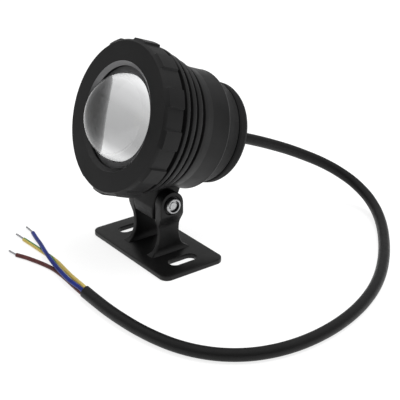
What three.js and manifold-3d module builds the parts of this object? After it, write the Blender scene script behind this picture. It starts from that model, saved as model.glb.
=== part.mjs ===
// Underwater pond light: a die-cast lamp head on a clevis foot, with its lens, LED and driver inside and a bare-ended lead.
// Millimetres, +Z up. Origin: centre of the foot plate's underside. +X along the tilt bolt, towards its head. The lamp faces -Y.
import * as THREE from "three";
import { mergeVertices } from "three/addons/utils/BufferGeometryUtils.js";
import Module from "manifold-3d";

const wasm = await Module();
wasm.setup();

// ---- driving dimensions ----
const PLATE_L = 75, // foot plate, along X
  PLATE_W = 40.8, // along Y
  PLATE_T = 3,
  PLATE_CORNER = 5,
  SLOT_X = 25.4, // slot centres, either side
  SLOT_W = 7.4,
  SLOT_L = 17.6, // over its round ends, along Y
  HINGE_Z = 32.44, // tilt bolt above the underside
  TILT = (20.36 * Math.PI) / 180, // the head's rest angle above level
  AXIS_H = 40.81, // lamp axis above the bolt
  EAR_IN = 10.3, // clevis ears: inner face, web, boss
  EAR_OUT = 13.3,
  BOSS_OUT = 16.3,
  EAR_R = 7.6,
  WAIST = 6.5,
  BOLT_R = 2.5, // M5
  BOLT_HOLE_R = 2.8,
  SCREW_HEAD_R = 4.75,
  RECESS_R = 5.5,
  RECESS_X = 15.2,
  GAP = 0.3, // between touching pieces
  BEZEL_FRONT = 41.1, // positions along the lamp axis, + towards the front
  BEZEL_REAR = 29.3,
  BEZEL_R = 41.4,
  PAD_R = 42.5,
  OPENING_R = 30.4,
  LIP_R = 27.4,
  SPIGOT_R = 36.8,
  BODY_R = 33.7,
  CAP_FRONT = -22,
  CAP_REAR = -30,
  LENS_R = 23.6, // domed part
  LENS_APEX = 55.6,
  LENS_BASE = 36.3,
  LENS_FLANGE_R = 33.4,
  BOOT_END = -40,
  JACKET_R = 3.3,
  CORE_R = 1.2,
  TIP_R = 0.5;

// The lead's centreline, from the strain relief down to the ground and round to the front, and its three cores.
const CABLE = [[0, 51.98, 56.68], [0, 56.67, 54.79], [0.2, 63.5, 52.2], [0.7, 74.6, 47.7], [1.6, 85.6, 42.9], [3.2, 96.4, 37.9], [5.7, 106.9, 32.5], [9.4, 116.9, 26.9], [15.2, 125.5, 20.9], [23.8, 131.2, 14.9], [34.6, 132.1, 9.9], [45.6, 128.6, 6.7], [55.9, 122.6, 4.9], [65.4, 115.4, 3.9], [74.4, 107.4, 3.5], [83.0, 99.0, 3.4], [91.2, 90.2, 3.4], [99.0, 80.9, 3.4], [106.1, 71.3, 3.4], [112.5, 61.1, 3.4], [118.0, 50.4, 3.4], [122.6, 39.2, 3.4], [126.1, 27.7, 3.4], [128.5, 15.9, 3.4], [129.6, 4.0, 3.4], [129.2, -8.1, 3.4], [126.9, -19.9, 3.4], [122.4, -31.0, 3.4], [115.4, -40.8, 3.4], [106.3, -48.6, 3.4], [95.8, -54.3, 3.4], [84.3, -58.1, 3.4], [72.6, -60.5, 3.4], [60.6, -61.9, 3.4], [48.6, -62.6, 3.4], [36.6, -62.6, 3.4], [24.5, -62.3, 3.4]];
const CORES = {
  core_blue: [[24.2, -63.6, 4.1], [20, -63.3, 4.2], [16, -62.6, 3.7], [11.5, -61.6, 2.4], [5.3, -60.9, 1.3], [-6, -59.8, 1.8], [-14, -58.2, 3.5], [-23, -55.6, 4.1], [-32, -53.4, 3.1], [-40, -51.8, 1.6], [-48, -50.2, 1.3], [-55.6, -48.9, 1.3]],
  core_yellow_green: [[24.2, -61, 4.1], [20, -60.3, 3.9], [12, -58.4, 2.2], [4, -56.9, 1.3], [-8.4, -55.3, 1.3], [-16, -54.9, 1.3], [-23, -55.6, 1.3], [-31, -56.9, 1.3], [-42.4, -57.2, 1.3], [-53.3, -57.2, 1.3]],
  core_brown: [[24.2, -62.3, 1.8], [20, -62.9, 1.6], [16, -63.9, 1.35], [11.5, -64.5, 1.3], [4.4, -64.2, 1.3], [-10.7, -63.2, 1.3], [-20.3, -64.8, 1.3], [-29.3, -67.6, 1.3], [-36, -69.9, 1.3]],
};
const TIPS = {
  tip_blue: [[-55.9, -48.9, 1.3], [-60, -48.7, 1.2], [-65.2, -48.5, 0.9]],
  tip_yellow_green: [[-53.6, -57.2, 1.3], [-57, -56.9, 1.2], [-61.2, -56.9, 0.9]],
  tip_brown: [[-36.3, -70, 1.3], [-40, -70.7, 1.2], [-44.6, -71.3, 0.9]],
};

// ---- solids ----
const move = (x, y, z) => new THREE.Matrix4().makeTranslation(x, y, z);
const turn = (axis, deg) =>
  axis === "x"
    ? new THREE.Matrix4().makeRotationX((deg * Math.PI) / 180)
    : axis === "y"
      ? new THREE.Matrix4().makeRotationY((deg * Math.PI) / 180)
      : new THREE.Matrix4().makeRotationZ((deg * Math.PI) / 180);

function signedVolume(pos, idx) {
  let v = 0;
  const a = new THREE.Vector3(), b = new THREE.Vector3(), c = new THREE.Vector3();
  for (let i = 0; i < idx.length; i += 3) {
    a.fromArray(pos, idx[i] * 3);
    b.fromArray(pos, idx[i + 1] * 3);
    c.fromArray(pos, idx[i + 2] * 3);
    v += a.dot(b.cross(c));
  }
  return v / 6;
}

// A closed geometry, with its matrices applied in turn, as a solid facing out.
function solid(geometry, ...matrices) {
  let g = geometry.index ? geometry.toNonIndexed() : geometry.clone();
  g.deleteAttribute("normal");
  g.deleteAttribute("uv");
  for (const m of matrices) g.applyMatrix4(m);
  g = mergeVertices(g, 1e-4);
  const pos = g.attributes.position.array;
  const tri = new Uint32Array(g.index.array);
  if (signedVolume(pos, tri) < 0)
    for (let i = 0; i < tri.length; i += 3)
      [tri[i + 1], tri[i + 2]] = [tri[i + 2], tri[i + 1]];
  return new wasm.Manifold(
    new wasm.Mesh({ numProp: 3, vertProperties: new Float32Array(pos), triVerts: tri }),
  );
}

function geometryOf(s) {
  const m = s.getMesh();
  const g = new THREE.BufferGeometry();
  const v = new Float32Array((m.vertProperties.length / m.numProp) * 3);
  for (let i = 0; i < v.length / 3; i++)
    v.set(m.vertProperties.subarray(i * m.numProp, i * m.numProp + 3), i * 3);
  g.setAttribute("position", new THREE.BufferAttribute(v, 3));
  g.setIndex(new THREE.BufferAttribute(new Uint32Array(m.triVerts), 1));
  return g;
}

// Turned piece on the lamp axis: profile of [position along the axis, radius], closed on itself or on the axis.
function turned(profile, segments = 48) {
  const p = profile.map(([s, r]) => new THREE.Vector2(r, -s));
  if (profile[0][1] !== 0) p.push(p[0].clone());
  return solid(new THREE.LatheGeometry(p, segments), move(0, 0, AXIS_H));
}

const outline = (points) =>
  new THREE.Shape(points.map(([a, b]) => new THREE.Vector2(a, b)));

// A (y, z) outline given its width along X.
function alongX(points, x0, x1) {
  const g = new THREE.ExtrudeGeometry(outline(points), { depth: x1 - x0, bevelEnabled: false, steps: 1, curveSegments: 8 });
  // the shape's x becomes y, its y becomes z, its depth becomes x
  const m = new THREE.Matrix4().set(0, 0, 1, x0, 1, 0, 0, 0, 0, 1, 0, 0, 0, 0, 0, 1);
  return solid(g, m);
}

// An (x, z) outline given its width along Y.
function alongY(points, y0, y1) {
  const g = new THREE.ExtrudeGeometry(outline(points), { depth: y1 - y0, bevelEnabled: false, steps: 1, curveSegments: 8 });
  const m = new THREE.Matrix4().set(1, 0, 0, 0, 0, 0, 1, y0, 0, 1, 0, 0, 0, 0, 0, 1);
  return solid(g, m);
}

// A cylinder or cone along X, Y or Z, centred on a point.
function rod(axis, r0, r1, length, at, segments = 24) {
  const g = new THREE.CylinderGeometry(r1, r0, length, segments);
  const r = axis === "x" ? turn("z", -90) : axis === "z" ? turn("x", 90) : new THREE.Matrix4();
  return solid(g, r, move(...at));
}

const block = (w, d, h, at) => solid(new THREE.BoxGeometry(w, d, h), move(...at));

function tube(points, radius, sides, steps) {
  const curve = new THREE.CatmullRomCurve3(points.map((p) => new THREE.Vector3(...p)), false, "centripetal");
  const ring = [];
  for (let i = 0; i < sides; i++) {
    const a = (2 * Math.PI * i) / sides;
    ring.push(new THREE.Vector2(radius * Math.cos(a), radius * Math.sin(a)));
  }
  return new THREE.ExtrudeGeometry(new THREE.Shape(ring), { steps, extrudePath: curve, bevelEnabled: false });
}

const material = (color, roughness, metalness = 0) =>
  new THREE.MeshStandardMaterial({ color, roughness, metalness });
const PAINT = () => material(0x202021, 0.45, 0.1),
  STEEL = () => material(0xb9bbbd, 0.25, 1),
  RUBBER = () => material(0x1a1a1a, 0.7);

const light = new THREE.Group();
light.name = "pond_light";
const head = new THREE.Group();
head.position.set(0, 0, HINGE_Z);
head.rotation.x = -TILT;
light.add(head);

function add(parent, name, shape, mat) {
  const mesh = new THREE.Mesh(shape.isBufferGeometry ? shape : geometryOf(shape), mat);
  mesh.name = name;
  parent.add(mesh);
  return mesh;
}

// ---- foot: slotted plate with two clevis ears ----
function roundedRect(w, h, r, n = 6) {
  const pts = [];
  for (const [cx, cy, a0] of [[w / 2 - r, h / 2 - r, 0], [-w / 2 + r, h / 2 - r, 90], [-w / 2 + r, -h / 2 + r, 180], [w / 2 - r, -h / 2 + r, 270]])
    for (let i = 0; i <= n; i++) {
      const a = ((a0 + (90 * i) / n) * Math.PI) / 180;
      pts.push([cx + r * Math.cos(a), cy + r * Math.sin(a)]);
    }
  return pts;
}
let bracket = solid(
  new THREE.ExtrudeGeometry(outline(roundedRect(PLATE_L, PLATE_W, PLATE_CORNER)), { depth: PLATE_T, bevelEnabled: false }),
);
for (const side of [-1, 1]) {
  const slot = roundedRect(SLOT_W, SLOT_L, SLOT_W / 2 - 0.001, 8);
  bracket = bracket.subtract(
    solid(new THREE.ExtrudeGeometry(outline(slot), { depth: PLATE_T + 4, bevelEnabled: false }), move(side * SLOT_X, 0, -2)),
  );
}
// ear seen along X: flared foot, waist, round head about the bolt
const EAR_SIDE = [[13.4, 2.9], [11.8, 3.6], [10, 4.7], [8.5, 6.5], [7.3, 9], [6.7, 12], [WAIST, 15], [6.7, 18], [7.2, 21], [EAR_R, 24.5]];
const ear = [[13.4, 1.5], ...EAR_SIDE];
for (let i = 0; i <= 12; i++) {
  const a = (Math.PI * i) / 12;
  ear.push([EAR_R * Math.cos(a), HINGE_Z + EAR_R * Math.sin(a)]);
}
for (const [y, z] of [...EAR_SIDE].reverse()) ear.push([-y, z]);
ear.push([-13.4, 1.5]);
// ear seen along Y: web, and the boss that stands out of it round the bolt
const earFront = (s) => {
  const p = [[8.7, 1.5], [8.7, 2.9], [9.5, 3.6], [10, 4.6], [EAR_IN, 6], [EAR_IN, 41], [BOSS_OUT, 41], [BOSS_OUT, 26], [BOSS_OUT - 0.5, 24.9], [EAR_OUT + 0.4, 20.9], [EAR_OUT, 19.6], [EAR_OUT, 5.4], [13.6, 4.3], [14.2, 3.5], [15.2, 2.9], [15.2, 1.5]];
  return s > 0 ? p : p.map(([x, z]) => [-x, z]).reverse();
};
for (const side of [-1, 1]) {
  const both = alongX(ear, side > 0 ? 8 : -17, side > 0 ? 17 : -8).intersect(alongY(earFront(side), -20, 20));
  bracket = bracket.add(both);
}
bracket = bracket.subtract(rod("x", BOLT_HOLE_R, BOLT_HOLE_R, 50, [0, 0, HINGE_Z], 24));
for (const side of [-1, 1])
  bracket = bracket.subtract(rod("x", RECESS_R, RECESS_R, 10, [side * (RECESS_X + 5), 0, HINGE_Z], 32));
add(light, "bracket", bracket, PAINT());

// ---- tilt bolt: button-head screw, washers, nut ----
const SOCKET = new THREE.CylinderGeometry(1.75, 1.75, 4, 6);
let screw = solid(
  new THREE.LatheGeometry(
    [[0, 18.3], [2, 18.3], [3.3, 18.1], [4.3, 17.6], [SCREW_HEAD_R, 17], [SCREW_HEAD_R, RECESS_X + GAP], [BOLT_R, RECESS_X + GAP], [BOLT_R, -22.2], [2.1, -22.6], [0, -22.6]].map(([r, x]) => new THREE.Vector2(r, x)),
    32,
  ),
  turn("z", -90),
  move(0, 0, HINGE_Z),
);
screw = screw.subtract(solid(SOCKET, turn("z", -90), move(18.4, 0, HINGE_Z)));
add(light, "tilt_screw", screw, STEEL());
function washer(r, t, x0) {
  const p = [[BOLT_R + GAP, x0], [r, x0], [r, x0 + t], [BOLT_R + GAP, x0 + t]].map(([a, b]) => new THREE.Vector2(a, b));
  p.push(p[0].clone());
  return solid(new THREE.LatheGeometry(p, 28), turn("z", -90), move(0, 0, HINGE_Z));
}
add(light, "flat_washer", washer(5, 1, -16.5), STEEL());
let spring = washer(4.5, 1.2, -18);
spring = spring.subtract(solid(new THREE.BoxGeometry(3, 0.8, 4), turn("x", 20), move(-17.4, 0, HINGE_Z + 4)));
add(light, "spring_washer", spring, STEEL());
add(
  light,
  "tilt_nut",
  solid(new THREE.CylinderGeometry(4.62, 4.62, 3, 6), turn("z", -90), move(-19.8, 0, HINGE_Z))
    .subtract(rod("x", BOLT_R + GAP, BOLT_R + GAP, 8, [-19.8, 0, HINGE_Z], 24)),
  STEEL(),
);

// ---- lamp housing: finned casting with its hanging lug ----
let housing = turned([
  [37, 34], [37, SPIGOT_R], [26.1, SPIGOT_R], [25.9, 40.6], [23.5, 40.3], [23.1, 31.8], [20.7, 31.8], [20.4, 38.8], [17.5, 38.4], [17.1, 31.6], [15.1, 31.6],
  [14.8, 36.8], [11.6, 36.4], [11.2, 31.4], [9, 31.4], [8.6, 35], [5.5, 34.4], [2, BODY_R], [-9, 33.5], [-10.5, 33], [-13, 31.9], [-18, 29.7], [-21, 28.8], [-21.7, 28.2],
  [-21.7, 25.2], [5.5, 25.2], [5.5, 4], [12, 4], [12, 28.5], [31.6, 28.5], [31.6, 34],
], 40);
const LUG_SIDE = [[-7.5, 14], [-7.4, -4.9], [-6.4, -7.6], [-4.4, -11.3], [4.4, -11.3], [6.4, -7.6], [7.3, -4.9], [7.3, 14]];
const LUG_FRONT = [[-9.9, 14], [-9.9, -1], [-8.5, -11.5], [8.5, -11.5], [9.9, -1], [9.9, 14]];
let lug = alongX(LUG_SIDE, -12, 12).intersect(alongY(LUG_FRONT, -20, 20));
housing = housing.add(lug);
housing = housing.subtract(rod("x", BOLT_HOLE_R, BOLT_HOLE_R, 50, [0, 0, 0], 24));
// the two driver-board pillars, and the threaded holes for the four inside screws
const BOARD_SCREWS = [[15, AXIS_H + 12.4], [-15, AXIS_H - 12.4]];
const LED_SCREWS = [[20.5, AXIS_H], [-20.5, AXIS_H]];
for (const [x, h] of BOARD_SCREWS) {
  housing = housing.add(rod("y", 3, 3, 11.4, [x, 0, h], 16));
  housing = housing.subtract(rod("y", 1.3, 1.3, 9, [x, 3.2, h], 12));
}
for (const [x, h] of LED_SCREWS)
  housing = housing.subtract(rod("y", 1.8, 1.8, 12, [x, -9, h], 12));
add(head, "housing", housing, PAINT());

// ---- front: screw-on bezel with grip pads, gasket, lens, seal ----
let bezel = turned([
  [40.3, OPENING_R], [40.9, OPENING_R + 1.2], [BEZEL_FRONT, OPENING_R + 3], [BEZEL_FRONT, 40.9], [39.4, BEZEL_R], [BEZEL_REAR, BEZEL_R], [BEZEL_REAR, SPIGOT_R + GAP], [37.6, SPIGOT_R + GAP], [37.6, LIP_R], [39.2, LIP_R],
], 60);
const padRing = turned([[40.1, 40.4], [40.1, BEZEL_R - 0.3], [39.2, PAD_R], [BEZEL_REAR, PAD_R], [BEZEL_REAR, 40.4]], 120);
const PAD_HALF = (7 * Math.PI) / 180;
for (let k = 0; k < 12; k++) {
  const a = (k * Math.PI) / 6;
  const far = 60;
  const wedge = alongY([a, a - PAD_HALF, a + PAD_HALF].map((t, i) => (i ? [far * Math.cos(t), AXIS_H + far * Math.sin(t)] : [0, AXIS_H])), -45, -25);
  bezel = bezel.add(padRing.intersect(wedge));
}
add(head, "front_bezel", bezel, PAINT());
add(head, "lens_gasket", turned([[36.55, LENS_R + 0.6], [37.3, LENS_R + 0.6], [37.3, 31.6], [36.55, 31.6]], 40), RUBBER());
const lensProfile = [[33.3, 0], [33.3, LENS_FLANGE_R], [36.25, LENS_FLANGE_R], [36.25, LENS_R]];
for (let i = 1; i <= 9; i++) {
  const t = (Math.PI / 2) * (i / 9);
  lensProfile.push([LENS_BASE + (LENS_APEX - LENS_BASE) * Math.sin(t), i === 9 ? 0 : LENS_R * Math.cos(t)]);
}
add(head, "lens", turned(lensProfile, 40), material(0xdfe6e8, 0.05));
add(head, "lens_seal", turned([[31.9, 29], [31.9, 33.4], [33, 33.4], [33, 29]], 36), RUBBER());
add(
  head,
  "reflector",
  turned([[17.2, 12.4], [31.2, 27], [31.2, 28], [30.4, 28], [17.2, 13.6]], 36),
  material(0xdadcdd, 0.2, 0.8),
);

// ---- light source ----
let pad = turned([[12.3, 5], [12.3, 26], [12.8, 26], [12.8, 5]], 32);
let board = turned([[13.1, 5], [13.1, 26.5], [14.7, 26.5], [14.7, 5]], 32);
const WIRE_PORTS = [[0, AXIS_H + 17.5], [0, AXIS_H - 17.5]];
for (const [x, h] of LED_SCREWS) {
  pad = pad.subtract(rod("y", 2, 2, 8, [x, -12.5, h], 12));
  board = board.subtract(rod("y", 1.8, 1.8, 8, [x, -14, h], 12));
}
add(head, "thermal_pad", pad, material(0x9aa0a6, 0.8));
add(head, "led_board", board, material(0xe8e8e4, 0.5));
add(
  head,
  "led_emitter",
  block(20, 1.4, 20, [0, -15.7, AXIS_H]).add(rod("y", 7.6, 7.6, 0.7, [0, -16.7, AXIS_H], 28)),
  material(0xe6d36a, 0.4),
);
LED_SCREWS.forEach(([x, h], i) =>
  add(
    head,
    "led_screw_" + (i + 1),
    rod("y", 2.7, 2.7, 1.8, [x, -15.9, h], 16).add(rod("y", 1.5, 1.5, 8.4, [x, -11.2, h], 12)),
    STEEL(),
  ),
);
add(
  head,
  "ir_receiver",
  block(5, 3.2, 5.4, [0, -16.6, AXIS_H + 21.3]).add(solid(new THREE.SphereGeometry(1.9, 16, 10), move(0, -18.1, AXIS_H + 21.3))),
  material(0x221a24, 0.3),
);

// ---- driver, in the rear chamber ----
let driver = turned([[-7.6, 0], [-7.6, 23.5], [-6, 23.5], [-6, 0]], 36);
for (const [x, h] of BOARD_SCREWS) driver = driver.subtract(rod("y", 1.8, 1.8, 6, [x, 6.8, h], 12));
add(head, "driver_board", driver, material(0x1c5a36, 0.5));
BOARD_SCREWS.forEach(([x, h], i) =>
  add(
    head,
    "driver_screw_" + (i + 1),
    rod("y", 2.4, 2.4, 1.6, [x, 8.8, h], 16).add(rod("y", 1, 1, 8, [x, 4.5, h], 12)),
    STEEL(),
  ),
);
add(head, "capacitor", rod("y", 4, 4, 9, [-9, 12.5, AXIS_H + 6], 20), material(0x22262e, 0.35));
add(head, "inductor", rod("y", 4.8, 4.8, 6.5, [8.5, 11.3, AXIS_H + 2], 20).subtract(rod("y", 1.6, 1.6, 4, [8.5, 14.2, AXIS_H + 2], 12)), material(0x2a2a2c, 0.6));
add(head, "rectifier", block(7, 2.6, 6.4, [8, 9.3, AXIS_H - 9.5]), material(0x161618, 0.5));
add(head, "controller_chip", block(6.2, 1.6, 5, [-7, 8.8, AXIS_H - 7]), material(0x161618, 0.5));
// four leads from the driver, through the web's central hole, to the LED board
const LEADS = { led_lead_common: [1.9, 0, 0xe8e8e8], led_lead_red: [0, 1.9, 0xb3201c], led_lead_green: [-1.9, 0, 0x1f7a35], led_lead_blue: [0, -1.9, 0x1c3f9a] };
for (const [name, [x, h, color]] of Object.entries(LEADS))
  add(
    head,
    name,
    tube([[x * 1.6, 5.6, AXIS_H + h * 1.6], [x * 1.3, 2, AXIS_H + h * 1.3], [x, -3, AXIS_H + h], [x, -9, AXIS_H + h], [x, -14.6, AXIS_H + h]], 0.7, 8, 6),
    material(color, 0.5),
  );

// ---- rear: screw-on cap, its O-ring, cable seal, gland nut, boot ----
add(
  head,
  "rear_cap",
  turned([
    [CAP_FRONT, 24.9], [CAP_FRONT, 28.6], [-23, 29], [-26.5, 28.7], [-28.6, 27.6], [-29.7, 26], [CAP_REAR, 24.3], [CAP_REAR, 8.4], [-33, 8.4],
    [-33, 6.4], [-29, 6.4], [-29, 3.9], [-26.8, 3.9], [-26.8, 22.4], [-15, 22.4], [-15, 24.9], [-17, 24.9], [-17, 23.6], [-19.4, 23.6], [-19.4, 24.9],
  ], 36),
  PAINT(),
);
add(head, "rear_o_ring", turned([[-17.3, 23.9], [-19.1, 23.9], [-19.1, 24.8], [-18.6, 25.05], [-17.8, 25.05], [-17.3, 24.8]], 40), RUBBER());
add(head, "cable_seal", turned([[-29.3, 3.7], [-29.3, 6.1], [-33.2, 6.1], [-33.2, 3.7]], 28), RUBBER());
add(
  head,
  "gland_nut",
  turned([[-33.3, 8], [-35.4, 8], [-36, 7.4], [-36, 5.9], [-33.3, 5.9]], 12),
  PAINT(),
);
add(head, "strain_relief", turned([[-33.5, 3.7], [-33.5, 5.6], [-36.4, 5.5], [BOOT_END, 4.3], [BOOT_END, 3.7]], 24), RUBBER());
// the stub of the lead inside the head, from the driver to the boot's end
add(head, "lead_stub", turned([[-9, 0], [-9, JACKET_R], [BOOT_END, JACKET_R], [BOOT_END, 0]], 16), RUBBER());

// ---- free lead: jacket, three cores, tinned ends ----
add(light, "cable", tube(CABLE, JACKET_R, 10, 64), RUBBER());
const CORE_COLOR = { core_blue: 0x2b62c4, core_yellow_green: 0xd8d62a, core_brown: 0x7a4a33 };
for (const [name, pts] of Object.entries(CORES)) add(light, name, tube(pts, CORE_R, 8, 26), material(CORE_COLOR[name], 0.45));
for (const [name, pts] of Object.entries(TIPS)) add(light, name, tube(pts, TIP_R, 8, 4), material(0xc9c9c6, 0.3, 1));

export default light;
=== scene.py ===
import math

import bmesh
import bpy
from mathutils import Matrix, Vector


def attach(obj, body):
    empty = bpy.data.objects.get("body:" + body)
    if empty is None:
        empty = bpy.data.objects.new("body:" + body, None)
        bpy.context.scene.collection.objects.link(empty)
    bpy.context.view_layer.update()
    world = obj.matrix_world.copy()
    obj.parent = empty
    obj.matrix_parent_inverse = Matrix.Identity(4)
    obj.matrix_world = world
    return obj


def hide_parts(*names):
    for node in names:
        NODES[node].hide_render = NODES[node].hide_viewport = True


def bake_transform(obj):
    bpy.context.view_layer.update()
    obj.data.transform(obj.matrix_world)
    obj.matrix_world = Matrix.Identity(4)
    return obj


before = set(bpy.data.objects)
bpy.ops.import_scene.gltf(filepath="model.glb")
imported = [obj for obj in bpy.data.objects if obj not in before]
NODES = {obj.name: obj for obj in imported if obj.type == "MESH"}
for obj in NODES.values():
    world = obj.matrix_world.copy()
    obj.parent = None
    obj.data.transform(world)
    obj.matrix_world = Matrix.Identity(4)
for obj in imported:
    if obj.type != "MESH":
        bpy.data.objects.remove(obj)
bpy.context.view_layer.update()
MM = 0.001

# ------------------------------------------------------------------ the head's frame
TILT = math.radians(20.36)
HINGE = Vector((0, 0, 32.44))
FRONT = Vector((0, -math.cos(TILT), math.sin(TILT)))
UP = Vector((0, math.sin(TILT), math.cos(TILT)))
AXIS_H = 40.81


def head_point(x, s, h):
    """A point of the head, in metres: across, along the lamp axis to the front, and above the bolt."""
    return (HINGE + Vector((1, 0, 0)) * x + FRONT * s + UP * h) * MM


# ------------------------------------------------------------------ camera, first of all
def camera():
    back = Vector((0.7290, -0.5420, 0.4180)).normalized()
    right = Vector((0.5967, 0.8025, 0.0)).normalized()
    upward = back.cross(right)
    m = Matrix((
        (right.x, upward.x, back.x),
        (right.y, upward.y, back.y),
        (right.z, upward.z, back.z),
    )).to_4x4()
    m.translation = (Vector((24.42, 12.85, 35.28)) + back * 580.0) * MM
    data = bpy.data.cameras.new("camera")
    data.sensor_width = 36.0
    data.lens = 95.14
    data.clip_start, data.clip_end = 0.01, 30
    cam = bpy.data.objects.new("camera", data)
    cam.matrix_world = m
    bpy.context.scene.collection.objects.link(cam)
    bpy.context.scene.camera = cam


camera()


# ------------------------------------------------------------------ materials
def tree_of(name):
    m = bpy.data.materials.new(name)
    m.use_nodes = True
    nt = m.node_tree
    nt.nodes.clear()
    out = nt.nodes.new("ShaderNodeOutputMaterial")
    bsdf = nt.nodes.new("ShaderNodeBsdfPrincipled")
    nt.links.new(bsdf.outputs["BSDF"], out.inputs["Surface"])
    return m, nt, bsdf


def noise(nt, scale, detail=4.0, rough=0.55, coord=None):
    if coord is None:
        coord = nt.nodes.new("ShaderNodeTexCoord").outputs["Object"]
    n = nt.nodes.new("ShaderNodeTexNoise")
    n.inputs["Scale"].default_value = scale
    n.inputs["Detail"].default_value = detail
    n.inputs["Roughness"].default_value = rough
    nt.links.new(coord, n.inputs["Vector"])
    return n.outputs["Fac"]


def ramp(nt, fac, stops):
    r = nt.nodes.new("ShaderNodeValToRGB")
    while len(r.color_ramp.elements) < len(stops):
        r.color_ramp.elements.new(0.5)
    for e, (pos, col) in zip(r.color_ramp.elements, stops):
        e.position = pos
        e.color = col if len(col) == 4 else (*col, 1)
    nt.links.new(fac, r.inputs["Fac"])
    return r.outputs["Color"]


def spread(nt, fac, low, high):
    m = nt.nodes.new("ShaderNodeMapRange")
    m.inputs["From Min"].default_value, m.inputs["From Max"].default_value = 0.3, 0.7
    m.inputs["To Min"].default_value, m.inputs["To Max"].default_value = low, high
    nt.links.new(fac, m.inputs["Value"])
    return m.outputs["Result"]


def bump(nt, bsdf, height, strength, distance):
    b = nt.nodes.new("ShaderNodeBump")
    b.inputs["Strength"].default_value = strength
    b.inputs["Distance"].default_value = distance
    nt.links.new(height, b.inputs["Height"])
    nt.links.new(b.outputs["Normal"], bsdf.inputs["Normal"])
    return b


def grey(v):
    return (v, v, v * 1.02)


def paint(name, dark, light, rough=(0.38, 0.48), grain=2600.0, specular=0.2):
    """Satin black stove paint over a casting: fine orange peel, faint mottling, slight gloss changes."""
    m, nt, b = tree_of(name)
    coord = nt.nodes.new("ShaderNodeTexCoord").outputs["Object"]
    nt.links.new(ramp(nt, noise(nt, 60, 5, 0.6, coord), [(0.3, grey(dark)), (0.7, grey(light))]), b.inputs["Base Color"])
    nt.links.new(spread(nt, noise(nt, 240, 4, 0.6, coord), *rough), b.inputs["Roughness"])
    b.inputs["Specular IOR Level"].default_value = specular
    add = nt.nodes.new("ShaderNodeMath")
    add.operation = "ADD"
    nt.links.new(noise(nt, grain, 2, 0.5, coord), add.inputs[0])
    nt.links.new(noise(nt, 420, 3, 0.5, coord), add.inputs[1])
    bump(nt, b, add.outputs[0], 0.16, 0.00004)
    return m


def rubber(name, dark, light, rough=(0.55, 0.72), scale=900, strength=0.2, specular=0.35):
    m, nt, b = tree_of(name)
    b.inputs["Specular IOR Level"].default_value = specular
    coord = nt.nodes.new("ShaderNodeTexCoord").outputs["Object"]
    nt.links.new(ramp(nt, noise(nt, 130, 5, 0.6, coord), [(0.3, grey(dark)), (0.7, grey(light))]), b.inputs["Base Color"])
    nt.links.new(spread(nt, noise(nt, 300, 4, 0.6, coord), *rough), b.inputs["Roughness"])
    bump(nt, b, noise(nt, scale, 4, 0.6, coord), strength, 0.00005)
    return m


def plastic(name, colour, vary=0.12, rough=(0.28, 0.42), scale=500):
    m, nt, b = tree_of(name)
    b.inputs["Specular IOR Level"].default_value = 0.18
    coord = nt.nodes.new("ShaderNodeTexCoord").outputs["Object"]
    lo = tuple(c * (1 - vary) for c in colour)
    hi = tuple(min(1, c * (1 + vary)) for c in colour)
    nt.links.new(ramp(nt, noise(nt, 180, 4, 0.6, coord), [(0.3, lo), (0.7, hi)]), b.inputs["Base Color"])
    nt.links.new(spread(nt, noise(nt, 350, 3, 0.5, coord), *rough), b.inputs["Roughness"])
    bump(nt, b, noise(nt, scale, 3, 0.5, coord), 0.15, 0.00003)
    return m


def metal(name, colour, rough=(0.18, 0.3), ring_axis=None, centre=(0, 0, 0), vary=0.08, rings=5200.0):
    """Bare metal. With ring_axis it has the fine rings that turning leaves about that axis."""
    m, nt, b = tree_of(name)
    coord = nt.nodes.new("ShaderNodeTexCoord").outputs["Object"]
    lo, hi = tuple(c * (1 - vary) for c in colour), tuple(min(1, c * (1 + vary)) for c in colour)
    nt.links.new(ramp(nt, noise(nt, 220, 4, 0.6, coord), [(0.3, lo), (0.7, hi)]), b.inputs["Base Color"])
    nt.links.new(spread(nt, noise(nt, 900, 3, 0.5, coord), *rough), b.inputs["Roughness"])
    b.inputs["Metallic"].default_value = 1.0
    if ring_axis is not None:
        sub = nt.nodes.new("ShaderNodeVectorMath")
        sub.operation = "SUBTRACT"
        sub.inputs[1].default_value = centre
        nt.links.new(coord, sub.inputs[0])
        mask = nt.nodes.new("ShaderNodeVectorMath")
        mask.operation = "MULTIPLY"
        mask.inputs[1].default_value = [0.0 if i == ring_axis else 1.0 for i in range(3)]
        nt.links.new(sub.outputs[0], mask.inputs[0])
        size = nt.nodes.new("ShaderNodeVectorMath")
        size.operation = "LENGTH"
        nt.links.new(mask.outputs[0], size.inputs[0])
        mul = nt.nodes.new("ShaderNodeMath")
        mul.operation = "MULTIPLY"
        mul.inputs[1].default_value = rings * 6.28
        nt.links.new(size.outputs["Value"], mul.inputs[0])
        sine = nt.nodes.new("ShaderNodeMath")
        sine.operation = "SINE"
        nt.links.new(mul.outputs[0], sine.inputs[0])
        bump(nt, b, sine.outputs[0], 0.12, 0.00002)
    else:
        bump(nt, b, noise(nt, 1600, 3, 0.5, coord), 0.12, 0.00002)
    return m


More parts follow.
